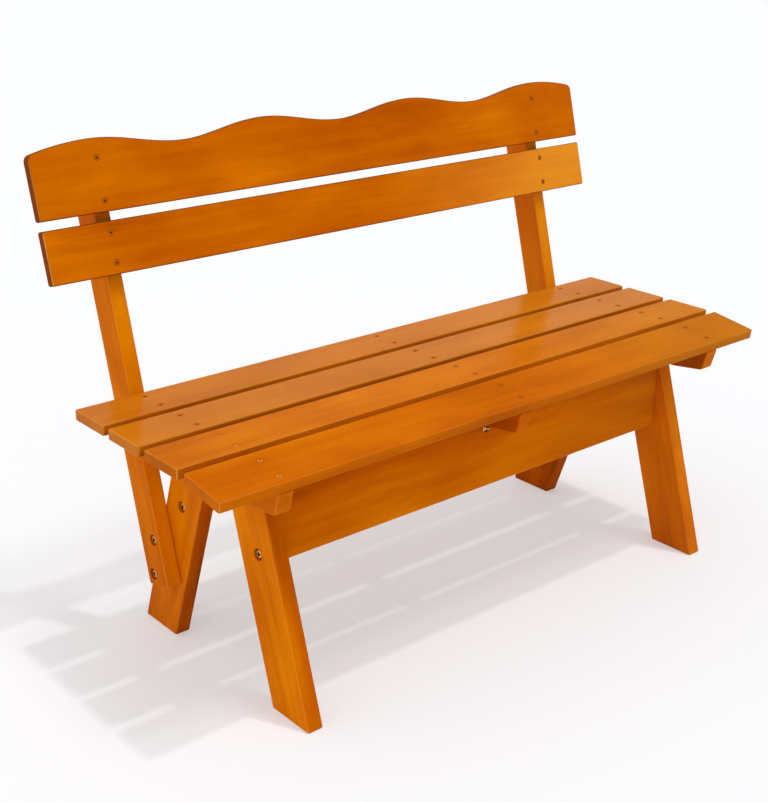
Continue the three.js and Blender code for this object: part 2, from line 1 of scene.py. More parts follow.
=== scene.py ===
"""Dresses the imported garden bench: lacquered pine boards, screws, bolts and brackets.

Left and right are as seen from in front of the bench, so that left is -X.
"""

import functools
import math

import bpy
import numpy as np
from mathutils import Matrix, Vector
from mathutils.geometry import convex_hull_2d, tessellate_polygon


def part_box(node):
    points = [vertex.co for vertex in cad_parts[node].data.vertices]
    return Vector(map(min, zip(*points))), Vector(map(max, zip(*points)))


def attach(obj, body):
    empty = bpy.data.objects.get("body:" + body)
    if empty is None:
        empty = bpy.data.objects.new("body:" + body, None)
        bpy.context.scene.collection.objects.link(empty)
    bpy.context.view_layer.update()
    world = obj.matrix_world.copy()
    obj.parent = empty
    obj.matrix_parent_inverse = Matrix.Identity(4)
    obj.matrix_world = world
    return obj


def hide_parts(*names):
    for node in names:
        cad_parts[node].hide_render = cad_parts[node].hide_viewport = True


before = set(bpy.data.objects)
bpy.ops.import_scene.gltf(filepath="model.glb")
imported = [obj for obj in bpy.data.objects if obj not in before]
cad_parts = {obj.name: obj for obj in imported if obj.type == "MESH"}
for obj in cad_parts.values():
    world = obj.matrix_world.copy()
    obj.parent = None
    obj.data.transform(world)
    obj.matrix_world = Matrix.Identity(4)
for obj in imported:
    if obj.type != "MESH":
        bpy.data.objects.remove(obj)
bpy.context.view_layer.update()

MM = 0.001
ROOT = "root"
X, Y, Z = np.eye(3)

# How the boards lie, as the CAD source gives it
SEAT_TILT = math.radians(9)
BACK_LEAN = math.radians(14.7)
FRONT_LEG_LEAN = math.radians(16.8)
REAR_LEG_LEAN = math.radians(19.8)

# The wavy top of the crest slat
CREST_HEIGHT = 116.5 * MM
CREST_DEPTH = 20.5 * MM
CREST_COUNT = 4
CREST_END_RUN = 112.5 * MM
CREST_END_DROP = 15 * MM
CREST_CORNER = 12 * MM

# Holes
BORE_RADIUS = 10 * MM
BORE_DEPTH = 8 * MM
SHANK_HOLE = 4.3 * MM
BARREL_HOLE = 6.3 * MM
DISH_RADIUS = 8.5 * MM

# Screws, with the gap round a head, how far it lies under the wood's face and the hole below it
SCREW_HEAD = 4.2 * MM
SCREW_GAP = 0.25 * MM
SCREW_SINK = 0.6 * MM
SCREW_SHANK = 2 * MM
SCREW_LENGTH = 40 * MM
SCREW_POINT = 4 * MM
SCREW_DOME = 0.5 * MM
SCREW_PILOT = 2.3 * MM

# Bolts, washers and barrel nuts
WASHER_THICKNESS = 1.6 * MM
BOLT_HEAD = 6.5 * MM
BOLT_HEAD_HEIGHT = 4 * MM
BOLT_DOME = 0.5 * MM
BOLT_SHANK = 4 * MM
BARREL_RADIUS = 6 * MM
BARREL_BEHIND = 1.7 * MM
NUT_HALF_WIDTH = 6.5 * MM

# How far below its top a turned piece may be carved
CARVED = 0.9 * MM

# Angle brackets
BRACKET_LEG = 13 * MM
BRACKET_WIDTH = 14 * MM
BRACKET_SIDESTEP = -7 * MM
BRACKET_THICKNESS = 2 * MM
BRACKET_BEND = 2.2 * MM
BRACKET_TAPER = 3 * MM
BRACKET_SCREW_OUT = 8.5 * MM
BRACKET_SCREW_DOWN = 5.5 * MM

# How the boards are shaped by hand and machine
SLAT_ARRIS = 2.2 * MM
FRAME_ARRIS = 2.6 * MM
SLAT_CORNER = 3.6 * MM
FRAME_CORNER = 3 * MM
NOSE_CORNER = 9 * MM

# How squarely a corner faces out and forwards before it takes a painted highlight with some wear, and
# where it is full
CORNER_PALE_FROM, CORNER_PALE_FULL = 0.70, 0.97

# How finely curves are divided
TURNED_SIDES = 48
ARRIS_STEPS = 5
CORNER_STEPS = 6
WAVE_STEPS = 160
HOLE_SIDES = 36
CROWN_ROWS = 20
BEND_STEPS = 8
TAPER_STEPS = 7

# The wood's figure: a ring, a spell of good or poor years, and how far the fibre wanders
RING_WIDTH = 3.6 * MM
SPELL_WIDTH = 14 * MM
WANDER = 14 * MM

# How far to the right the boards' change of colour is complete, and the heights between which the painted
# shade under the seat grows
RIGHTWARD_REACH = 0.58
SHADED_FROM, SHADED_TO = 0.30, 0.375

# The zinc's clouds and its grit
CLOUD_WIDTH = 4 * MM
GRIT_WIDTH = 0.6 * MM


def srgb(code):
    """Linear colour, with alpha, of an sRGB hex value."""
    parts = np.array([int(code[i:i + 2], 16) for i in (0, 2, 4)]) / 255
    linear = np.where(parts <= 0.04045, parts / 12.92, ((parts + 0.055) / 1.055) ** 2.4)
    return (*linear.tolist(), 1.0)


def smooth_step(value, low, high):
    """0 below low and 1 above high, with an even slope at both."""
    t = np.clip((value - low) / (high - low), 0, 1)
    return t * t * (3 - 2 * t)


def node_points(name):
    """Corners of a CAD node as an array of points."""
    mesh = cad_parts[name].data
    points = np.zeros(len(mesh.vertices) * 3)
    mesh.vertices.foreach_get("co", points)
    return points.reshape(-1, 3)


def middle_of(name, axes=np.eye(3)):
    """The middle of a node's box, in the given axes."""
    local = node_points(name) @ axes.T
    return (local.min(0) + local.max(0)) / 2


def rounded(corners, radii):
    """Outline points and outward normals of a polygon whose corners are arcs tangent to both sides.

    Each arc turns from the normal of the side before its corner to that of the side after it, about
    a centre that lies a radius inside both sides.
    """
    corners = np.array(corners, float)
    points, normals = [], []
    count = len(corners)
    for i, radius in enumerate(radii):
        before = corners[i] - corners[i - 1]
        after = corners[(i + 1) % count] - corners[i]
        first = np.array([before[1], -before[0]]) / np.linalg.norm(before)
        last = np.array([after[1], -after[0]]) / np.linalg.norm(after)
        centre = corners[i] - radius * (first + last) / (1 + first @ last)
        turn = math.atan2(first[0] * last[1] - first[1] * last[0], first @ last)
        angles = math.atan2(first[1], first[0]) + turn * np.linspace(0, 1, CORNER_STEPS)
        arc = np.stack([np.cos(angles), np.sin(angles)], 1)
        points.append(centre + radius * arc)
        normals.append(arc)
    return np.concatenate(points), np.concatenate(normals)


def crest_height(x, top, half):
    """The crest slat's top edge: a cosine wave between its outer crests, then a parabola to each end."""
    past = np.abs(x) - (half - CREST_END_RUN)
    period = 2 * (half - CREST_END_RUN) / (CREST_COUNT - 1)
    wave = top - CREST_DEPTH / 2 * (1 - np.cos(2 * np.pi * past / period))
    return np.where(past > 0, top - CREST_END_DROP * (past / CREST_END_RUN) ** 2, wave)


def crest_outline(low, high):
    """Outline and normals of the crest slat from its box corners.

    The two lower corners are arcs, the wave is sampled evenly, and each upper corner is an arc that
    meets the wave at the wave's own slope.
    """
    half, bottom, top = (high[0] - low[0]) / 2, low[1], low[1] + CREST_HEIGHT
    fall = math.atan(2 * CREST_END_DROP / CREST_END_RUN)
    turns = np.linspace(0, math.pi / 2 - fall, 2 * CORNER_STEPS)
    reach = half - CREST_CORNER * (1 - math.cos(turns[-1]))
    centre = crest_height(np.array(reach), top, half) - CREST_CORNER * math.sin(turns[-1])
    lower = np.linspace(-math.pi / 2, 0, CORNER_STEPS)
    lower_arc = np.stack([np.cos(lower), np.sin(lower)], 1)
    upper_arc = np.stack([np.cos(turns), np.sin(turns)], 1)
    right = np.concatenate([
        [half - SLAT_CORNER, bottom + SLAT_CORNER] + SLAT_CORNER * lower_arc,
        [half - CREST_CORNER, centre] + CREST_CORNER * upper_arc,
    ])
    right_normals = np.concatenate([lower_arc, upper_arc])
    x = np.linspace(reach, -reach, WAVE_STEPS + 1)[1:-1]
    step = 0.1 * MM
    slope = (crest_height(x + step, top, half) - crest_height(x - step, top, half)) / (2 * step)
    wave = np.stack([x, crest_height(x, top, half)], 1)
    wave_normals = np.stack([-slope, np.ones_like(x)], 1) / np.hypot(slope, 1)[:, None]
    flip = np.array([-1, 1])
    points = np.concatenate([right, wave, right[::-1] * flip])
    normals = np.concatenate([right_normals, wave_normals, right_normals[::-1] * flip])
    return points + [(high[0] + low[0]) / 2, 0], normals


def new_mesh(name, points, faces, attributes, material, sharp):
    """A mesh object from arrays, smooth except at edges sharper than "sharp" degrees."""
    mesh = bpy.data.meshes.new(name)
    mesh.from_pydata(points.tolist(), [], faces)
    for key, values in attributes.items():
        kind, field = ("FLOAT_VECTOR", "vector") if values.ndim == 2 else ("FLOAT", "value")
        layer = mesh.attributes.new(key, kind, "POINT")
        layer.data.foreach_set(field, values.astype(np.float32).ravel())
    mesh.shade_smooth()
    mesh.set_sharp_from_angle(angle=math.radians(sharp))
    mesh.materials.append(material)
    piece = bpy.data.objects.new(name, mesh)
    bpy.context.scene.collection.objects.link(piece)
    weighted = piece.modifiers.new("flat faces stay flat", "WEIGHTED_NORMAL")
    weighted.keep_sharp = True
    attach(piece, ROOT)
    return piece


def bands(rows, sides):
    """Quads between rows of points that each go once round."""
    index = np.arange(rows * sides).reshape(rows, sides)
    here, above = index[:-1], index[1:]
    return np.stack([here, np.roll(here, -1, 1), np.roll(above, -1, 1), above], -1).reshape(-1, 4)


class Stock:
    """How a board's finish differs from the rest, where more is darker.

    "face", "inner" and "side" shade its outer face, its inner face and its sides. Part of this is the
    board's own colour, and part is painted light and painted shade for how light falls on each face,
    as where inner faces are darkened. "gather" is painted shade away from the outer face, on its
    long sides and, by the share "ends", on its ends. "dark" is a line of painted shade along its
    arrises, "pale" a pale line of painted highlight with some wear along them, and "rubbed"
    a painted highlight with some wear on the front corners. "figure" is the grain's strength and
    "brown" comes of use. "paler" and "browner" grow towards the bench's right end, and "under" is
    painted shade that grows towards the seat's underside. The last five reach the material as two
    vectors, the first of which has a number to spare.
    """

    def __init__(self, face=0.0, inner=0.0, side=0.0, gather=0.0, ends=0.1, dark=0.0, pale=0.16,
                 rubbed=0.0, figure=0.3, brown=0.0, paler=0.0, browner=0.0, under=0.0):
        self.face, self.inner, self.side = face, inner, side
        self.gather, self.ends = gather, ends
        self.dark, self.pale, self.rubbed = dark, pale, rubbed
        self.body = (figure, brown, 0.0)
        self.drift = (paler, browner, under)


class Board:
    """A board with rounded arrises, from an outline and its two faces, with its holes."""

    def __init__(self, node, across, up, grain, beyond=0.0):
        """Reads the board's place from its CAD node, in the axes across, up and square to both.

        "grain" is the fibre's direction in the outline. "beyond" leaves out the points nearer than
        that to the bench's middle, which belong to screws that the node holds.
        """
        self.node = node
        self.axes = np.array([across, up, np.cross(across, up)], float)
        points = node_points(node)
        self.local = points[np.abs(points[:, 0]) >= beyond] @ self.axes.T
        self.low, self.high = self.local.min(0), self.local.max(0)
        self.thickness = self.high[2] - self.low[2]
        self.grain = np.array(grain, float)
        self.stock = Stock()
        self.lacquer = THIN_PINE
        self.holes = []

    def corners(self):
        """The outline's corners, anticlockwise.

        They are the hull of the node's points, without the points on a straight side.
        """
        flat = self.local[:, :2]
        hull = flat[convex_hull_2d([Vector(p) for p in flat])]
        after = np.roll(hull, -1, 0)
        if (hull[:, 0] * after[:, 1] - after[:, 0] * hull[:, 1]).sum() < 0:
            hull = hull[::-1]
        hull = hull[np.linalg.norm(hull - np.roll(hull, 1, 0), axis=1) > 1 * MM]
        before, after = hull - np.roll(hull, 1, 0), np.roll(hull, -1, 0) - hull
        cross = before[:, 0] * after[:, 1] - before[:, 1] * after[:, 0]
        turn = cross / (np.linalg.norm(before, axis=1) * np.linalg.norm(after, axis=1))
        return hull[turn > math.sin(math.radians(2))]

    def hole(self, centre, profile, front=True):
        """A round hole, as rows of radius, depth from the face and pooling_and_shade.

        A last row at the board's own thickness passes through, and a last radius of 0 closes it.
        """
        self.holes.append((np.array(centre[:2], float), profile, front))

    def sides(self, outline, normals, arris):
        """Points, faces and paint values of the band round the board.

        Each row is the outline drawn in along its normals by a quarter circle's inset, at that
        quarter circle's height, for the arris of each face. "wear_and_highlight", a painted highlight
        with some wear, grows where a point's normal looks both outwards along the bench and forwards,
        as on the front corners of the ends, and along the arrises of the faces. "curve" is 1 where the
        normals turn from point to point, as on the outline's corners.
        """
        phi = np.linspace(0, np.pi / 2, ARRIS_STEPS + 1)
        inset = arris * (1 - np.cos(phi))
        rise = self.thickness / 2 - arris + arris * np.sin(phi)
        insets = np.concatenate([inset[::-1], inset])
        heights = np.concatenate([-rise[::-1], rise])
        tilt = np.concatenate([phi[::-1], phi])
        flat = outline[None] - normals[None] * insets[:, None, None]
        height = np.broadcast_to(heights[:, None, None], (len(heights), len(outline), 1))
        points = np.concatenate([flat, height], 2).reshape(-1, 3)
        bend = 1 - (normals * np.roll(normals, 1, 0)).sum(1)
        curve = np.clip(30 * np.minimum(bend, np.roll(bend, -1)), 0, 1)
        level = np.cos(tilt)[:, None]
        steep = np.sin(tilt)[:, None] * np.sign(heights)[:, None]
        rounding = np.sin(2 * tilt)[:, None]
        on_face = heights[:, None] > 0
        stock = self.stock
        along = np.abs(normals @ self.grain)[None]
        nearest = np.where(on_face, stock.face, stock.inner)
        ahead = normals @ self.axes[:2]
        outward = np.abs(ahead[None, :, 0] * level + self.axes[2, 0] * steep)
        forward = -(ahead[None, :, 1] * level + self.axes[2, 1] * steep)
        low = 0.5 - heights[:, None] / self.thickness
        rubbed = stock.rubbed * smooth_step(2 * outward * forward, CORNER_PALE_FROM, CORNER_PALE_FULL)
        gathered = stock.gather * np.clip(2 * low, 0, 1) * level
        # Painted light in these values: "edge" is a line of painted shade, "wear_and_highlight" painted
        # highlight with some wear, "colour_and_painted_shade" partly painted shade and light for each
        # face, and "pooling_and_shade" here painted shade only, low on the sides
        paint = {
            "edge": stock.dark * np.maximum(rounding, curve[None] * level),
            "end": along * level,
            "wear_and_highlight": np.maximum(rubbed, stock.pale * (rounding * on_face)),
            "colour_and_painted_shade": nearest + (stock.side - nearest) * level ** 2,
            "pooling_and_shade": gathered * (1 - (1 - stock.ends) * along),
        }
        shape = (len(heights), len(outline))
        paint = {key: np.broadcast_to(value, shape).ravel() for key, value in paint.items()}
        return points, bands(*shape), paint

    def build(self, outline, normals, arris, seed):
        """The board's mesh: its sides, its holes turned about their middles, and its two faces.

        Each face is filled between the outline and the holes' mouths.
        """
        half = self.thickness / 2
        points, quads, paint = self.sides(outline, normals, arris)
        count = len(outline)
        loops = {True: [np.arange(len(points) - count, len(points))], False: [np.arange(count)]}
        faces = quads.tolist()
        parts, pooling_and_shade_rows = [points], [paint["pooling_and_shade"]]
        used = len(points)
        turn = np.linspace(0, 2 * np.pi, HOLE_SIDES, endpoint=False)
        circle = np.stack([np.cos(turn), np.sin(turn)], 1)
        for centre, profile, front in self.holes:
            radius, depth, pooling_and_shade = np.array(profile, float).T
            height = (half - depth) * (1 if front else -1)
            flat = centre + radius[:, None, None] * circle
            lift = np.broadcast_to(height[:, None, None], (*flat.shape[:2], 1))
            rows = np.concatenate([flat, lift], 2).reshape(-1, 3)
            last = (len(radius) - 1) * HOLE_SIDES
            walls = bands(len(radius), HOLE_SIDES) + used
            if radius[-1] == 0:
                walls[-HOLE_SIDES:, 2:] = used + last
                rows = rows[:last + 1]
            closed = walls[:, 2] == walls[:, 3]
            walls = walls if front else walls[:, ::-1]
            tips = walls[closed]
            faces += walls[~closed].tolist() + (tips[:, :3] if front else tips[:, 1:]).tolist()
            loops[front].append(used + np.arange(HOLE_SIDES))
            if abs(depth[-1] - self.thickness) < 0.001 * MM:
                loops[not front].append(used + last + np.arange(HOLE_SIDES))
            parts.append(rows)
            pooling_and_shade_rows.append(np.repeat(pooling_and_shade, HOLE_SIDES)[:len(rows)])
            used += len(rows)
        points = np.concatenate(parts)
        padding = np.zeros(used - len(paint["edge"]))
        drilled = np.where(points[len(paint["edge"]):, 2] > 0, self.stock.face, self.stock.inner)
        for front, found in loops.items():
            flat = [[Vector((*points[i, :2], 0)) for i in loop] for loop in found]
            corners = np.concatenate(found)[np.array(tessellate_polygon(flat))]
            a, b, c = (points[corners[:, k], :2] for k in range(3))
            first, second = b - a, c - a
            area = first[:, 0] * second[:, 1] - first[:, 1] * second[:, 0]
            wrong = (area > 0) != front
            corners[wrong] = corners[wrong][:, ::-1]
            faces += corners.tolist()
        data = {
            "grain": self.tree(points, seed),
            "edge": np.concatenate([paint["edge"], padding]),
            "end": np.concatenate([paint["end"], padding]),
            "wear_and_highlight": np.concatenate([paint["wear_and_highlight"], padding]),
            "colour_and_painted_shade": np.concatenate([paint["colour_and_painted_shade"], drilled]),
            "pooling_and_shade": np.concatenate(pooling_and_shade_rows),
            "body": np.tile(self.stock.body, (used, 1)),
            "drift": np.tile(self.stock.drift, (used, 1)),
        }
        points[:, 2] += (self.high[2] + self.low[2]) / 2
        piece = new_mesh(self.node + "_board", points @ self.axes, faces, data, self.lacquer,
                         sharp=40)
        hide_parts(self.node)

    def tree(self, points, seed):
        """Where each point lay in the tree: along the trunk, and two ways off its pith."""
        random = np.random.default_rng(seed)
        along = points[:, :2] @ self.grain
        across = points[:, :2] @ np.array([-self.grain[1], self.grain[0]])
        drift = random.uniform(-0.025, 0.025, 2)
        return np.stack([
            along + random.uniform(-9, 9),
            across - across.mean() + random.uniform(-0.05, 0.05) + drift[0] * along,
            points[:, 2] + random.uniform(0.02, 0.07) * random.choice([-1, 1]) + drift[1] * along,
        ], 1)


def add(tree, kind, inputs=None, output=0, stops=(), **settings):
    """A shader node, given by one of its outputs, or by all of them where "output" is None.

    Each input takes a value or another node's output. "stops" are a colour ramp's positions, each
    with a colour or a grey.
    """
    node = tree.nodes.new("ShaderNode" + kind)
    for key, value in settings.items():
        setattr(node, key, value)
    for key, value in (inputs or {}).items():
        if isinstance(value, bpy.types.NodeSocket):
            tree.links.new(value, node.inputs[key])
        else:
            node.inputs[key].default_value = value
    for _ in stops[2:]:
        node.color_ramp.elements.new(1)
    for i, (position, colour) in enumerate(stops):
        element = node.color_ramp.elements[i]
        element.position = position
        element.color = colour if isinstance(colour, tuple) else (colour, colour, colour, 1)
    return node.outputs if output is None else node.outputs[output]


def new_material(name):
    """An empty node material, as the pair of material and tree."""
    material = bpy.data.materials.new(name)
    material.use_nodes = True
    material.node_tree.nodes.clear()
    return material, material.node_tree


def lacquered_pine(name, gloss, tint):
    """Planed pine, stained orange and brushed with clear lacquer.

    The rings are distances from the tree's pith, so that faces, edges and ends show one grain. The
    orange lies darker in bands that follow the rings, in long streaks and soft patches. Along the
    arrises it takes a line of painted shade on the back and pale lines of painted highlight, with some
    wear, on the seat and the frame, and painted shade darkens inner faces, the slats' sides, the
    stretchers under the seat and the holes. The lacquer is smooth, with the brush's long waves in it.
    It reflects by "gloss" and colours what it reflects by "tint".
    """
    material, tree = new_material(name)
    node = functools.partial(add, tree)
    grain, character, drift = (
        node("Attribute", output="Vector", attribute_name=key) for key in ("grain", "body", "drift"))
    edge, end, wear_and_highlight, colour_and_painted_shade, pooling_and_shade = (
        node("Attribute", output="Fac", attribute_name=key)
        for key in ("edge", "end", "wear_and_highlight", "colour_and_painted_shade", "pooling_and_shade"))
    figure, brown, _ = node("SeparateXYZ", {0: character}, None)
    paler, browner, under = node("SeparateXYZ", {0: drift}, None)
    x, _, z = node("SeparateXYZ", {0: node("TexCoord", output="Object")}, None)
    rightwards = node("MapRange", {0: x, 1: 0.0, 2: RIGHTWARD_REACH}, interpolation_type="SMOOTHSTEP")
    upwards = node("MapRange", {0: z, 1: SHADED_FROM, 2: SHADED_TO}, interpolation_type="SMOOTHSTEP")
    # The fibre wanders some 7 mm to each side over a quarter of a metre. A noise's three numbers are
    # its waves a metre, along the fibre and two ways across it.
    slow = node("VectorMath", {0: grain, 1: (4.0, 13.0, 13.0)}, operation="MULTIPLY")
    wander = node("TexNoise", {"Vector": slow, "Scale": 1.0, "Detail": 2.0, "Roughness": 0.5}, "Color")
    centred = node("VectorMath", {0: wander, 1: (0.5, 0.5, 0.5)}, operation="SUBTRACT")
    moved = node("VectorMath", {0: centred, 1: (0.0, WANDER, WANDER), 2: grain}, operation="MULTIPLY_ADD")
    # Streaks 20 x 250 mm, patches 110 x 220 mm, fibres 1 x 45 mm, flecks 1.5 x 16 mm, breaks in the
    # arrises' painted lines 33 x 60 mm, and the brush's waves 8 x 70 mm
    noise = {}
    for key, base, waves, detail, roughness in (
        ("streaks", moved, (4.0, 50.0, 50.0), 3.0, 0.55),
        ("patches", grain, (4.5, 9.0, 9.0), 3.0, 0.45),
        ("fibre", moved, (22.0, 900.0, 900.0), 2.0, 0.5),
        ("flecks", grain, (60.0, 650.0, 650.0), 1.0, 0.5),
        ("arris_patches", grain, (16.0, 30.0, 30.0), 2.0, 0.5),
        ("brushing", grain, (14.0, 130.0, 130.0), 3.0, 0.5),
    ):
        spread = node("VectorMath", {0: base, 1: waves}, operation="MULTIPLY")
        inputs = {"Vector": spread, "Scale": 1.0, "Detail": detail, "Roughness": roughness}
        noise[key] = node("TexNoise", inputs)
    # In each ring the early wood darkens slowly, and the late wood stops at once
    across = node("VectorMath", {0: moved, 1: (0.0, 1.0, 1.0)}, operation="MULTIPLY")
    pith = node("VectorMath", {0: across}, "Value", operation="LENGTH")
    age = node("Math", {0: pith, 1: RING_WIDTH}, operation="DIVIDE")
    year = node("Math", {0: age}, operation="FRACT")
    growth = [(0.0, 0.15), (0.55, 0.25), (0.86, 1.0), (0.93, 0.9), (1.0, 0.15)]
    late = node("ValToRGB", {0: year}, stops=growth)
    # Good and poor years come in spells
    spell = node("Math", {0: pith, 1: SPELL_WIDTH}, operation="DIVIDE")
    spells = node("TexNoise", {"W": spell, "Scale": 1.0, "Detail": 2.0}, noise_dimensions="1D")
    # Spells and streaks swing about 0, because 0.95 is half the sum of their weights
    grown = node("Math", {0: noise["streaks"], 1: 1.4, 2: -0.95}, operation="MULTIPLY_ADD")
    grown = node("Math", {0: spells, 1: 0.5, 2: grown}, operation="MULTIPLY_ADD")
    flecks = node("ValToRGB", {0: noise["flecks"]}, stops=[(0.62, 0.0), (0.74, 1.0)])
    # Sawn ends drink a little more of the orange and show their rings
    sawn = node("ValToRGB", {0: end}, stops=[(0.62, 0.0), (0.8, 1.0)])
    thirst = node("Math", {0: late, 1: 0.22, 2: 0.04}, operation="MULTIPLY_ADD")
    # Some boards are paler towards the bench's right end, and the stretchers' tops carry painted shade
    # under the seat
    paler_to_right = node("Math", {0: paler, 1: rightwards}, operation="MULTIPLY")
    shade = node("Math", {0: grown, 1: figure}, operation="MULTIPLY")
    for part, weight in (
        (noise["patches"], 0.85), (late, 0.04), (noise["fibre"], 0.05), (flecks, 0.10),
        (sawn, thirst), (colour_and_painted_shade, 1.0), (paler_to_right, -1.0), (under, upwards),
    ):
        shade = node("Math", {0: part, 1: weight, 2: shade}, operation="MULTIPLY_ADD")
    shade = node("Math", {0: shade, 1: 0.02}, operation="SUBTRACT")
    body = node("ValToRGB", {0: shade}, stops=[
        (0.00, srgb("F79A04")),
        (0.22, srgb("EE8600")),
        (0.42, srgb("DE7300")),
        (0.62, srgb("CE6200")),
        (0.85, srgb("B24E02")),
        (1.00, srgb("8C4006")),
    ])
    # Use turns the seat browner, and some boards browner towards the right end, where the paler boards
    # are mixed towards a pale orange
    browned = node("Math", {0: browner, 1: rightwards, 2: brown}, operation="MULTIPLY_ADD")
    paler_share = node("Math", {0: paler_to_right, 1: 0.55}, operation="MULTIPLY")
    # The back's arrises hold a line of painted shade, and those of the seat and the frame pale lines of
    # painted highlight with some wear
    line = node("ValToRGB", {0: edge}, stops=[(0.35, 0.0), (0.85, 1.0)])
    broken = node("ValToRGB", {0: noise["arris_patches"]}, stops=[(0.35, 0.5), (0.60, 0.9)])
    lined = node("Math", {0: line, 1: broken}, operation="MULTIPLY")
    patchy_highlight = node("ValToRGB", {0: noise["arris_patches"]}, stops=[(0.35, 0.25), (0.60, 0.85)])
    rubbed = node("Math", {0: wear_and_highlight, 1: patchy_highlight}, operation="MULTIPLY")
    # Stain and lacquer pool round the screws; the dark ring at each head, and the darkening down the
    # bolts' and barrel nuts' holes and low on the slats' sides, are painted shade
    pooling_and_shade_share = node("Math", {0: pooling_and_shade, 1: 0.8}, operation="MULTIPLY")
    for share, colour in (
        (browned, "C4811E"),
        (paler_share, "F8A850"),
        (lined, "6A3A0C"),
        (rubbed, "FCB458"),
        (pooling_and_shade_share, "7A2600"),
    ):
        body = node("Mix", {0: share, 6: body, 7: srgb(colour)}, 2, data_type="RGBA")
    # The brush's waves lie over the grain's own faint relief
    relief = noise["brushing"]
    for part, height in ((late, -0.12), (noise["fibre"], 0.12)):
        relief = node("Math", {0: part, 1: height, 2: relief}, operation="MULTIPLY_ADD")
    shader = node("BsdfPrincipled", {
        "Base Color": body,
        "Roughness": node("ValToRGB", {0: noise["patches"]}, stops=[(0.3, 0.17), (0.7, 0.27)]),
        "Normal": node("Bump", {"Height": relief, "Strength": 0.35, "Distance": 0.35 * MM}),
        "IOR": 1.5,
        "Specular IOR Level": gloss,
        "Specular Tint": srgb(tint),
    })
    node("OutputMaterial", {"Surface": shader}, None)
    return material


def plated_steel(name, light, dark, roughness, metal=1.0, gloss=0.5, recess="4A2408"):
    """Steel plated with zinc, whose layer clouds in patches a few millimetres wide, over a fine grit.

    "metal" is less than 1 where lacquer lies over the zinc. "recess" is the colour of the painted shade
    in the recesses.
    """
    material, tree = new_material(name)
    node = functools.partial(add, tree)
    place = node("TexCoord", output="Object")
    cloud = node("TexNoise", {"Vector": place, "Scale": 1 / CLOUD_WIDTH, "Detail": 3.0})
    grit = node("TexNoise", {"Vector": place, "Scale": 1 / GRIT_WIDTH, "Detail": 2.0})
    recess_shade = node("Attribute", output="Fac", attribute_name="recess_shade")
    plate = node("ValToRGB", {0: cloud}, stops=[(0.35, srgb(dark)), (0.65, srgb(light))])
    shader = node("BsdfPrincipled", {
        "Base Color": node("Mix", {0: recess_shade, 6: plate, 7: srgb(recess)}, 2, data_type="RGBA"),
        "Metallic": metal,
        "Specular IOR Level": gloss,
        "Roughness": node("ValToRGB", {0: cloud}, stops=[(0.3, roughness), (0.7, roughness + 0.14)]),
        "Normal": node("Bump", {"Height": grit, "Strength": 0.25, "Distance": 0.06 * MM}),
    })
    node("OutputMaterial", {"Surface": shader}, None)
    return material


# The rear seat slats keep the most gloss, the front ones are sat dull, and the frame and the back
# had a thin coat. The screws in the wood went in before the last coat, so it lies over their zinc.
RICH_PINE = lacquered_pine("planed_pine_with_full_orange_lacquer", 0.040, "FF9A34")
SAT_PINE = lacquered_pine("planed_pine_with_worn_orange_lacquer", 0.010, "FF8C14")
THIN_PINE = lacquered_pine("planed_pine_with_thin_orange_lacquer", 0.008, "FF8C0C")
YELLOW = plated_steel("steel_with_yellow_zinc", "ECC488", "A87838", 0.25)
BRIGHT = plated_steel("steel_with_bright_zinc", "E4B070", "B48848", 0.30, recess="2A1608")
DULL = plated_steel("screw_steel_under_dark_lacquer", "CC7416", "B05C08", 0.3, 0.0, 0.05, "501400")
# The paler zinc on the front seat slats' left screws is partly thinner lacquer and partly painted
# highlight
SCREW_WEAR_AND_GLINT = plated_steel("screw_steel_under_rubbed_lacquer", "EC9830", "DC8018", 0.3, 0.0, 0.08, "B45408")

# Holes as rows of radius, depth and pooling_and_shade: a lacquer-filled dish that sinks to a screw's
# rim, and under it the countersink and the shank's hole. The dish's brown halo is pooled lacquer, and
# the dark ring at the rim and below it is painted shade
SCREW_HOLE = [
    (DISH_RADIUS, 0, 0),
    (6.8 * MM, 0.05 * MM, 0.05),
    (5.6 * MM, 0.18 * MM, 0.12),
    (SCREW_HEAD + 2 * SCREW_GAP, 0.42 * MM, 0.30),
    (SCREW_HEAD + SCREW_GAP, 1.0 * MM, 0.9),
    (SCREW_PILOT, 3.3 * MM, 1),
    (SCREW_PILOT, 12 * MM, 1),
    (0, 13 * MM, 1),
]


def bolt_hole(thickness):
    """A flat-floored bore with a softened rim, and the shank's hole through the rest of the board."""
    # The bore darkens towards its floor and the shank's hole: painted shade
    return [
        (BORE_RADIUS + 0.6 * MM, 0, 0),
        (BORE_RADIUS, 0.6 * MM, 0.15),
        (BORE_RADIUS, BORE_DEPTH, 0.45),
        (SHANK_HOLE, BORE_DEPTH, 0.6),
        (SHANK_HOLE, thickness, 0),
    ]


def shank_hole(thickness):
    """A bolt shank's hole through a board."""
    return [(SHANK_HOLE, 0, 0), (SHANK_HOLE, thickness, 0)]


def cross_recess(x, y):
    """Depth of a cross recess: two slots, 1.7 mm deep where they cross, whose floor rises outwards."""
    wide, narrow = (-2.4 * MM, -2.0 * MM), (-1.0 * MM, -0.6 * MM)
    arms = np.maximum(
        smooth_step(-np.abs(x), *narrow) * smooth_step(-np.abs(y), *wide),
        smooth_step(-np.abs(y), *narrow) * smooth_step(-np.abs(x), *wide),
    )
    return arms * (1.7 * MM - 0.35 * np.hypot(x, y))


def hex_recess(x, y):
    """Depth of a six-sided socket, 6 mm across its flats and 3 mm deep."""
    angles = np.radians([0, 60, 120])
    flats = np.max([np.abs(x * np.cos(a) + y * np.sin(a)) for a in angles], 0)
    return smooth_step(-flats, -3.15 * MM, -2.9 * MM) * 3 * MM


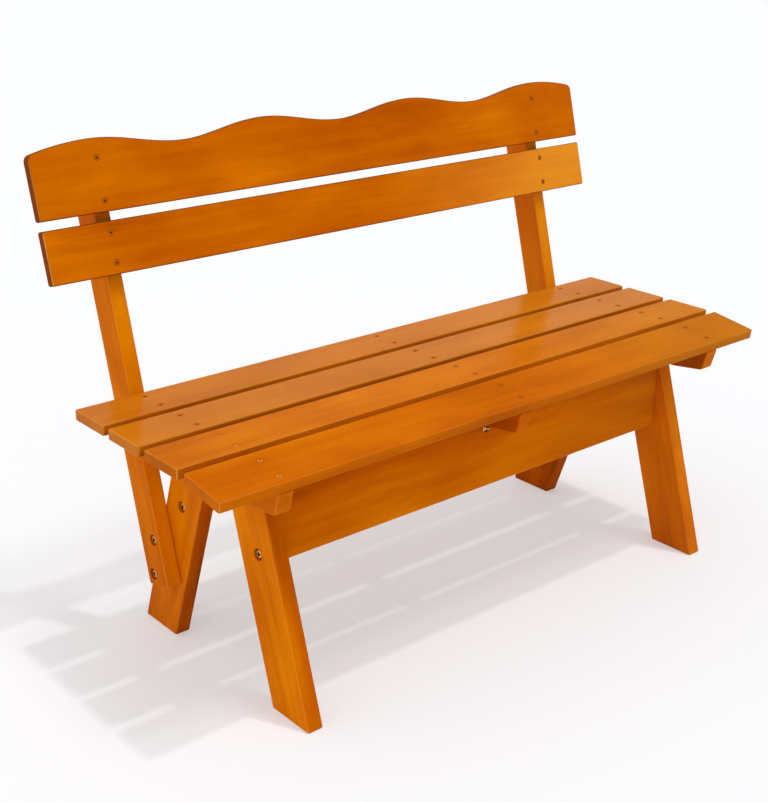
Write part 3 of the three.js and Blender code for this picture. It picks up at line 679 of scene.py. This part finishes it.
def slot_recess(x, y):
    """Depth of a straight screwdriver slot."""
    return smooth_step(-np.abs(y), -0.9 * MM, -0.65 * MM) * 1.5 * MM


def crown_rows(radius, height, dome=0.0):
    """Rows of a turned top from its rim to near its middle, domed by a parabola."""
    share = np.linspace(1, 0.05, CROWN_ROWS)
    return np.stack([radius * share, height + dome * (1 - share ** 2)], 1).tolist()


def turned(name, profile, place, axis, material, carve=None, sides=TURNED_SIDES):
    """A turned piece: a profile of radius and height, from foot to crown, carried round an axis.

    A point is the radius along the turning direction plus the height along the axis. "carve" gives
    how far each point near the top sinks, from where it lies across the axis.
    """
    axis = np.array(axis, float)
    side = Z if abs(axis[2]) < 0.9 else X
    side = side - axis * (side @ axis)
    side = side / np.linalg.norm(side)
    radii, heights = np.array(profile, float).T
    turn = np.linspace(0, 2 * np.pi, sides, endpoint=False)
    x = radii[1:-1, None] * np.cos(turn)
    y = radii[1:-1, None] * np.sin(turn)
    z = np.repeat(heights[1:-1, None], sides, 1)
    peak = heights[-1]
    sunk = np.zeros_like(z)
    if carve:
        sunk = carve(x, y) * (z > heights.max() - CARVED)
        peak = peak - carve(np.zeros(1), np.zeros(1))[0]
    z = z - sunk
    # Carved recesses darken with their depth: painted shade
    recess_shade = 0.85 * np.clip(np.concatenate([sunk.ravel(), [0, heights[-1] - peak]]) / (1 * MM), 0, 1)
    rows = len(radii) - 2
    ends = [[0, 0, heights[0]], [0, 0, peak]]
    local = np.concatenate([np.stack([x, y, z], -1).reshape(-1, 3), ends])
    first, last = np.arange(sides), np.arange(sides) + (rows - 1) * sides
    foot = np.stack([np.roll(first, -1), first, np.full(sides, rows * sides)], 1)
    crown = np.stack([last, np.roll(last, -1), np.full(sides, rows * sides + 1)], 1)
    faces = bands(rows, sides).tolist() + foot.tolist() + crown.tolist()
    points = np.array(place) + local @ np.array([side, np.cross(axis, side), axis])
    return new_mesh(name, points, faces, {"recess_shade": recess_shade}, material, sharp=35)


def wood_screw(name, place, axis, finish):
    """A countersunk wood screw: crown with a cross recess, cone, plain shank and point."""
    profile = [
        (0, -SCREW_LENGTH),
        (SCREW_SHANK, -SCREW_LENGTH + SCREW_POINT),
        (SCREW_SHANK, -3 * MM),
        (SCREW_HEAD, -0.6 * MM),
        (SCREW_HEAD, -0.2 * MM),
        *crown_rows(SCREW_HEAD - 0.2 * MM, 0, SCREW_DOME),
        (0, SCREW_DOME),
    ]
    return turned(name, profile, place, axis, finish, cross_recess)


def hoop(name, section, place, axis, sides, cut=None):
    """A closed section of radius and height in millimetres, carried round an axis as a ring.

    "cut" gives each point's radius from its turned radius and its turning angle, as for a nut's flats.
    """
    turn = np.linspace(0, 2 * np.pi, sides, endpoint=False)
    radius, height = (np.repeat(part[:, None], sides, 1) * MM for part in np.array(section, float).T)
    if cut:
        radius = cut(radius, turn[None])
    local = np.stack([radius * np.cos(turn), radius * np.sin(turn), height], -1).reshape(-1, 3)
    quads = bands(len(section) + 1, sides) % len(local)
    points = np.array(place) + local @ np.array([Z, np.cross(axis, Z), axis])
    new_mesh(name, points, quads.tolist(), {}, YELLOW, sharp=30)


def washer(name, place, axis):
    """A flat washer of 17 mm with softened edges."""
    section = [
        (8.5, 0.25), (8.5, 1.35), (8.25, 1.6), (4.6, 1.6),
        (4.35, 1.35), (4.35, 0.25), (4.6, 0), (8.25, 0),
    ]
    hoop(name, section, place, axis, 40)


def nut_flats(radius, turn):
    """The nearer of a point's turned radius and the nut's hexagon, outside the threaded hole."""
    hexagon = NUT_HALF_WIDTH / np.cos((turn + np.pi / 6) % (np.pi / 3) - np.pi / 6)
    return np.where(radius > 5 * MM, np.minimum(radius, hexagon), radius)


def nut(name, place, axis):
    """A hexagon nut 6.5 mm high, with the corners of both faces turned off."""
    section = [
        (7.6, 1.1), (7.6, 5.4), (6.4, 6.5), (4.3, 6.5),
        (4.05, 6.2), (4.05, 0.3), (4.3, 0), (6.4, 0),
    ]
    hoop(name, section, place, axis, 72, nut_flats)


def bolt(name, floor, axis, reach, grip):
    """A socket-head bolt with its washer on the bore's floor.

    Where a grip is given, which is the wood from the floor to the bolt's far side, the bolt ends in
    a washer and a nut there.
    """
    profile = [
        (0, -reach),
        (3.3 * MM, -reach),
        (BOLT_SHANK, -reach + 1 * MM),
        (BOLT_SHANK, 0),
        (BOLT_HEAD - 0.3 * MM, 0),
        (BOLT_HEAD, 0.3 * MM),
        (BOLT_HEAD, BOLT_HEAD_HEIGHT - 0.7 * MM),
        *crown_rows(BOLT_HEAD - 0.6 * MM, BOLT_HEAD_HEIGHT, BOLT_DOME),
        (0, BOLT_HEAD_HEIGHT + BOLT_DOME),
    ]
    seat = floor + axis * WASHER_THICKNESS
    piece = turned(name + "_turned", profile, seat, axis, YELLOW, hex_recess)
    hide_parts(name)
    washer(name + "_washer", floor, axis)
    if grip:
        far = floor - axis * (grip + WASHER_THICKNESS)
        washer(name + "_far_washer", far, axis)
        nut(name + "_nut", far, -axis)


def slat(node, up, rows, stock, lacquer, seed, wider=0.0):
    """A slat across the bench, with its screws in two rows at each end frame.

    A seat slat has the same rows at the middle bearer, whose CAD node holds these screws. "wider"
    moves a slat's rear edge back by that much, because the gaps of the real seat are narrower than
    those between the solids.
    """
    board = Board(node, X, up, (1, 0))
    board.stock = stock
    board.lacquer = lacquer
    face = board.high[2] - SCREW_SINK
    for row in rows:
        names = {side: f"{node}_screw_{side}_{row}" for side in ("left", "right", "middle")}
        spots = {side: middle_of(names[side], board.axes)[:2] for side in ("left", "right")}
        if node.startswith("seat"):
            spots["middle"] = spots["left"] * [0, 1]
        for side, spot in spots.items():
            board.hole(spot, SCREW_HOLE)
            place = np.array([*spot, face]) @ board.axes
            # The left screws of the front seat slats are paler, partly as painted highlight
            finish = SCREW_WEAR_AND_GLINT if lacquer is SAT_PINE and side == "left" else DULL
            piece = wood_screw(names[side] + "_turned", place, board.axes[2], finish)
            if side != "middle":
                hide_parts(names[side])
    if node == "back_slat_crest":
        board.build(*crest_outline(board.low, board.high), SLAT_ARRIS, seed)
    else:
        corners = board.corners()
        corners[:, 1] += wider * (corners[:, 1] > corners[:, 1].mean())
        board.build(*rounded(corners, [SLAT_CORNER] * 4), SLAT_ARRIS, seed)


def standing_board(node, sign, grain, beyond=0.0):
    """A board on edge whose outer face looks along X on the given side; "grain" is in bench Y and Z."""
    return Board(node, sign * Y, Z, (grain[0] * sign, grain[1]), beyond)


def shape_standing_board(board, seed):
    """Builds a board on edge with small corner arcs, and a rounder one under a bearer's nose."""
    corners = board.corners()
    radii = [FRAME_CORNER] * len(corners)
    if board.node.endswith("bearer"):
        forward = corners[:, 0] * board.axes[0][1]
        radii[int(np.argmin(forward + corners[:, 1]))] = NOSE_CORNER
    board.build(*rounded(corners, radii), FRAME_ARRIS, seed)


def side_frame(side, sign, seed):
    """The bearer, two legs and post of one end, with their bolts."""
    # Inner faces are darkened, the legs' narrow faces darkened and the bearer's and post's lightened:
    # painted shade and painted light on the boards' colour
    bearer = Stock(face=-0.05, inner=0.4, side=-0.12, brown=0.15, rubbed=0.15)
    front_leg = Stock(face=-0.08, inner=0.25, side=0.17, figure=0.42, rubbed=0.15, paler=0.14)
    rear_leg = Stock(face=-0.08, inner=0.4, side=0.30, figure=0.45, rubbed=0.1)
    post = Stock(face=0.03, inner=0.18, side=-0.24, figure=0.30, rubbed=0.4, paler=0.14)
    kinds = {
        "bearer": (math.pi / 2, bearer),
        "front_leg": (FRONT_LEG_LEAN, front_leg),
        "rear_leg": (-REAR_LEG_LEAN, rear_leg),
        "post": (BACK_LEAN, post),
    }
    boards = {}
    for kind, (lean, stock) in kinds.items():
        board = standing_board(f"{side}_{kind}", sign, (math.sin(lean), math.cos(lean)))
        board.stock = stock
        boards[kind] = board
    joined = {
        "front_bearer": ("bearer", "front_leg"),
        "rear_bearer": ("bearer", "rear_leg"),
        "post_upper": ("post", "rear_leg"),
        "post_lower": ("post", "rear_leg"),
        "front_stretcher": ("front_leg", None),
        "rear_stretcher": ("rear_leg", None),
    }
    for place, (outer, inner) in joined.items():
        name = f"{side}_{place}_bolt"
        spot = middle_of(name)
        board = boards[outer]
        board.hole(board.axes @ spot, bolt_hole(board.thickness))
        if inner:
            boards[inner].hole(boards[inner].axes @ spot, shank_hole(boards[inner].thickness))
        floor = np.array([sign * (board.high[2] - BORE_DEPTH), spot[1], spot[2]])
        reach = np.ptp(node_points(name)[:, 0]) - BOLT_HEAD_HEIGHT
        bolt(name, floor, sign * X, reach, inner and 2 * board.thickness - BORE_DEPTH)
    for number, board in enumerate(boards.values()):
        shape_standing_board(board, seed + number)


def stretcher(end, sign, seed):
    """A stretcher between the leg pairs, with its barrel nuts let in from the bench's middle."""
    board = Board(f"{end}_stretcher", X, Z, (1, 0))
    # The top darkens under the seat, by "under": painted shade
    board.stock = Stock(face=-0.03, inner=0.02, side=0.05, browner=0.2, paler=-0.10, under=0.28)
    depth = board.thickness - BARREL_BEHIND
    # The hole darkens inside: painted shade
    hole = [
        (BARREL_HOLE + 0.3 * MM, 0, 0),
        (BARREL_HOLE, 0.3 * MM, 0.7),
        (BARREL_HOLE, depth, 1),
        (0, depth, 1),
    ]
    for side in ("left", "right"):
        name = f"{side}_{end}_barrel_nut"
        spot = middle_of(name)
        board.hole(board.axes @ spot, hole, front=sign > 0)
        long = np.ptp(node_points(name)[:, 1])
        profile = [
            (0, 0),
            (BARREL_RADIUS - 0.4 * MM, 0),
            (BARREL_RADIUS, 0.4 * MM),
            (BARREL_RADIUS, long - 0.4 * MM),
            *crown_rows(BARREL_RADIUS - 0.4 * MM, long),
            (0, long),
        ]
        foot = spot + sign * Y * long / 2
        piece = turned(name + "_turned", profile, foot, -sign * Y, YELLOW, slot_recess)
        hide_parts(name)
    board.build(*rounded(board.corners(), [FRAME_CORNER] * 4), FRAME_ARRIS, seed)


def bracket(name, sign, face, underside):
    """An angle bracket bent from steel strip, in the corner of a stretcher's face and the middle bearer.

    The strip's middle line runs up the stretcher's face, round a quarter circle and out under the
    bearer. At each of its points the section is a flat bar with softened edges, and near both ends
    the bar narrows by a circle's arc.
    """
    middle = -sign * BRACKET_SIDESTEP
    half = BRACKET_THICKNESS / 2
    corner = half + BRACKET_BEND
    turn = np.linspace(np.pi, np.pi / 2, BEND_STEPS)
    quarter = np.linspace(0, np.pi / 2, TAPER_STEPS)
    leg = BRACKET_LEG - BRACKET_TAPER * (1 - np.cos(quarter[::-1]))
    narrow = BRACKET_TAPER * (1 - np.sin(quarter))
    flat, still = np.ones(TAPER_STEPS), np.zeros(TAPER_STEPS)
    out = np.concatenate([half * flat, corner + BRACKET_BEND * np.cos(turn), leg[::-1]])
    down = np.concatenate([leg, corner - BRACKET_BEND * np.sin(turn), half * flat])
    normal_out = np.concatenate([-flat, np.cos(turn), still])
    normal_up = np.concatenate([still, np.sin(turn), flat])
    width = BRACKET_WIDTH / 2 - np.concatenate([narrow, np.zeros(BEND_STEPS), narrow[::-1]])
    soft = 0.3 * MM
    side = 1 - soft / width.mean()
    bar = np.array([
        (1, half - soft), (1, soft - half), (side, -half), (-side, -half),
        (-1, soft - half), (-1, half - soft), (-side, half), (side, half),
    ])
    across = middle + width[:, None] * bar[:, 0]
    along = face + sign * (out[:, None] + normal_out[:, None] * bar[:, 1])
    height = underside - down[:, None] + normal_up[:, None] * bar[:, 1]
    points = np.stack([across, along, height], -1).reshape(-1, 3)
    sides = len(bar)
    first, last = np.arange(sides)[::-1], np.arange(sides) + (len(out) - 1) * sides
    faces = [*bands(len(out), sides).tolist(), first.tolist(), last.tolist()]
    if sign < 0:
        faces = [loop[::-1] for loop in faces]
    piece = new_mesh(name + "_strip", points, faces, {}, BRIGHT, sharp=35)
    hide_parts(name)
    head = [
        (0, -12 * MM),
        (1.5 * MM, -10 * MM),
        (1.5 * MM, 0),
        (3.9 * MM, 0),
        (4.1 * MM, 0.5 * MM),
        *crown_rows(3.8 * MM, 1.1 * MM, 0.3 * MM),
        (0, 1.4 * MM),
    ]
    seats = {
        "side": (BRACKET_THICKNESS, BRACKET_SCREW_DOWN, sign * Y),
        "top": (BRACKET_SCREW_OUT, BRACKET_THICKNESS, -Z),
    }
    for kind, (outwards, downwards, axis) in seats.items():
        place = np.array([middle, face + sign * outwards, underside - downwards])
        turned(f"{name}_{kind}_screw", head, place, axis, BRIGHT, cross_recess)


SEAT_UPS = [Y, Y, Y, np.array([0, math.cos(SEAT_TILT), math.sin(SEAT_TILT)])]
SEAT_WIDER = [0, 2.5 * MM, 3 * MM, 3 * MM]
# The sides lighten slat 1's ends as painted light, and "gather" darkens the sides in the gaps as painted
# shade
SEAT_STOCKS = [
    Stock(face=0.04, side=-0.10, gather=0.90, pale=0.34, rubbed=1.0,
          figure=0.24, brown=0.38, browner=0.07),
    Stock(face=0.09, gather=0.95, pale=0.38, rubbed=0.3,
          figure=0.24, brown=0.42, browner=0.05, paler=0.02),
    Stock(face=0.01, side=0.02, gather=0.55, pale=0.36, rubbed=0.7,
          figure=0.28, brown=0.22, browner=0.26, paler=0.02),
    Stock(face=0.10, gather=0.20, pale=0.18, rubbed=0.4,
          figure=0.28, brown=0.10, browner=0.44),
]
for number, (seat_up, stock, wider) in enumerate(zip(SEAT_UPS, SEAT_STOCKS, SEAT_WIDER)):
    lacquer = RICH_PINE if number < 2 else SAT_PINE
    slat(f"seat_slat_{number + 1}", seat_up, ("front", "rear"), stock, lacquer, 11 + number, wider)

BACK_UP = np.array([0, math.sin(BACK_LEAN), math.cos(BACK_LEAN)])
# The back slats' narrow faces are darkened, most towards the back, and their arrises lined dark: painted
# shade
back_slat_stock = functools.partial(Stock, inner=0.07, side=0.60, gather=1.0, ends=0.4, dark=0.9, pale=0.0)
BACK_STOCKS = {
    "back_slat_lower": back_slat_stock(face=0.06, rubbed=1.5, paler=0.45),
    "back_slat_crest": back_slat_stock(face=0.09, rubbed=0.7, paler=0.03),
}
for number, (name, stock) in enumerate(BACK_STOCKS.items()):
    slat(name, BACK_UP, ("lower", "upper"), stock, THIN_PINE, 21 + number)

side_frame("left", -1, seed=31)
side_frame("right", 1, seed=41)
middle_bearer = standing_board("middle_bearer", 1, (1, 0), beyond=5 * MM)
# The middle bearer is darkened all over: painted shade under the seat
middle_bearer.stock = Stock(face=0.4, inner=0.4, side=0.15)
shape_standing_board(middle_bearer, seed=51)
stretcher("front", -1, seed=52)
stretcher("rear", 1, seed=53)
bracket("front_bracket", -1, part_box("front_stretcher")[0].y, middle_bearer.low[1])
bracket("rear_bracket", 1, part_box("rear_stretcher")[1].y, middle_bearer.low[1])

# The floor is white studio paper that runs far past the bench. What the camera and polished faces
# see of it is part plain white, so that the bench's shadow stays as pale as the photograph's.
FLOOR_REACH = 40.0
PLAIN_WHITE = 0.35
paper, paper_tree = new_material("white_studio_paper")
on_paper = functools.partial(add, paper_tree)
rays = on_paper("LightPath", output=None)
looked_at = on_paper("Math", {0: rays["Is Camera Ray"], 1: rays["Is Glossy Ray"]}, operation="MAXIMUM")
bleach = on_paper("Math", {0: looked_at, 1: PLAIN_WHITE}, operation="MULTIPLY")
matt = on_paper("BsdfPrincipled", {
    "Base Color": srgb("F9FBFF"),
    "Roughness": 0.9,
    "Specular IOR Level": 0.1,
})
plain = on_paper("Emission", {"Color": srgb("FFFFFF"), "Strength": 1.04})
shown = on_paper("MixShader", {0: bleach, 1: matt, 2: plain})
on_paper("OutputMaterial", {"Surface": shown}, None)
floor_mesh = bpy.data.meshes.new("floor")
floor_corners = FLOOR_REACH * np.array([(-1, -1, 0), (1, -1, 0), (1, 1, 0), (-1, 1, 0)])
floor_mesh.from_pydata(floor_corners.tolist(), [], [(0, 1, 2, 3)])
floor_mesh.materials.append(paper)
floor = bpy.data.objects.new("floor", floor_mesh)
bpy.context.scene.collection.objects.link(floor)

# Two overhead lamps from the front and right: a small one for the crisp shadow, a wide one for the
# soft. Each is as strong as the share of plain white that it gives a level white floor.
for name, towards, share, width in (
    ("small overhead lamp", (0.22, -0.19, 1.0), 0.19, 2.5),
    ("wide overhead lamp", (0.22, -0.36, 1.0), 0.145, 14.0),
):
    direction = Vector(towards).normalized()
    lamp = bpy.data.lights.new(name, "SUN")
    lamp.energy = share * math.pi / direction.z
    lamp.angle = math.radians(width)
    holder = bpy.data.objects.new(name, lamp)
    holder.rotation_euler = direction.to_track_quat("Z", "Y").to_euler()
    bpy.context.scene.collection.objects.link(holder)

# Plain soft light from all round, stronger from above and from the left. What the camera sees of it
# is white, and polished faces see the white backdrop behind the bench and the dimmer studio in
# front of it.
world = bpy.data.worlds.new("studio")
bpy.context.scene.world = world
world.use_nodes = True
world.node_tree.nodes.clear()
on_world = functools.partial(add, world.node_tree)
outlook = on_world("TexCoord", output="Generated")
behind = on_world("VectorMath", {0: outlook, 1: (0.0, 1.0, -0.5)}, "Value", operation="DOT_PRODUCT")
leftwards = on_world("VectorMath", {0: outlook, 1: (-0.30, 0.04, 0.50)}, "Value", operation="DOT_PRODUCT")
strength = on_world("Math", {0: leftwards, 1: 0.34}, operation="ADD")
depth = on_world("MapRange", {0: behind, 1: -1.0, 2: 1.0})
mirrored = on_world("ValToRGB", {0: depth}, stops=[
    (0.15, srgb("585450")),
    (0.52, srgb("A09888")),
    (0.74, srgb("FFF4E0")),
])
rays = on_world("LightPath", output=None)
glossy, through = rays["Is Glossy Ray"], rays["Is Transmission Ray"]
polished = on_world("Math", {0: glossy, 1: through}, operation="MAXIMUM")
soft = on_world("Background", {"Color": srgb("FFFFFF"), "Strength": strength})
studio = on_world("Background", {"Color": mirrored, "Strength": 1.0})
white = on_world("Background", {"Color": srgb("FFFFFF"), "Strength": 1.0})
lit = on_world("MixShader", {0: polished, 1: soft, 2: studio})
lit = on_world("MixShader", {0: rays["Is Camera Ray"], 1: lit, 2: white})
on_world("OutputWorld", {"Surface": lit}, None)

# The camera, as solved from the photograph's corners and edges
AZIMUTH, ELEVATION, ROLL = math.radians(-40.0263), math.radians(21.0861), math.radians(0.2026)
DISTANCE = 2553.8 * MM
AIM = np.array([25.55, 122.54, 297.0]) * MM
FOCAL_LENGTH = 61.14
flat_back = np.array([math.sin(AZIMUTH), -math.cos(AZIMUTH), 0])
camera_back = flat_back * math.cos(ELEVATION) + Z * math.sin(ELEVATION)
level_right = np.cross(-camera_back, Z) / math.cos(ELEVATION)
level_up = np.cross(level_right, -camera_back)
camera_right = level_right * math.cos(ROLL) + level_up * math.sin(ROLL)
camera_up = level_up * math.cos(ROLL) - level_right * math.sin(ROLL)
camera = bpy.data.objects.new("camera", bpy.data.cameras.new("camera"))
camera.data.lens = FOCAL_LENGTH
camera.data.sensor_width = 36
camera.data.clip_end = 200
camera_turn = Matrix(np.array([camera_right, camera_up, camera_back]).T.tolist()).to_4x4()
camera.matrix_world = Matrix.Translation(Vector(AIM + camera_back * DISTANCE)) @ camera_turn
bpy.context.scene.collection.objects.link(camera)
bpy.context.scene.camera = camera
bpy.context.scene.view_settings.view_transform = "Standard"
